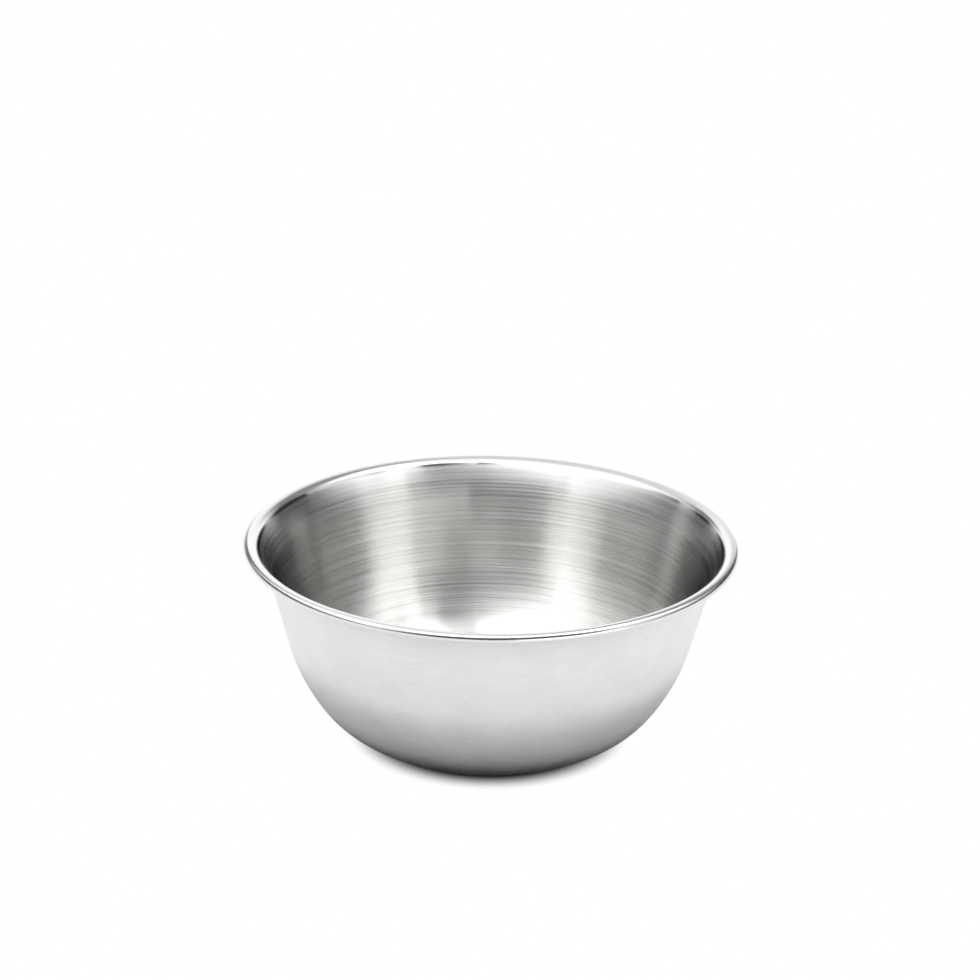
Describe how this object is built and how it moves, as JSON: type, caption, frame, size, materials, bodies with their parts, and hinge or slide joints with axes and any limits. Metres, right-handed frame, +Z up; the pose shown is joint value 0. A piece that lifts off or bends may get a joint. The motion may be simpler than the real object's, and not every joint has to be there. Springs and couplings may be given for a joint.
{
  "type": "prep bowl",
  "caption": "Round stainless steel prep bowl with a flat base, a rounded side and a flared rim ending in a turned-down lip.",
  "frame": {"origin": "middle of the flat underside, on the surface the bowl stands on", "axes": "+Z up along the bowl's axis of revolution"},
  "size_m": [0.2, 0.2, 0.084],
  "materials": {
    "steel": "stainless steel: brushed round the inside, polished on the rim, satin on the outside"
  },
  "bodies": {
    "root": {"bowl": "steel"}
  },
  "joints": []
}
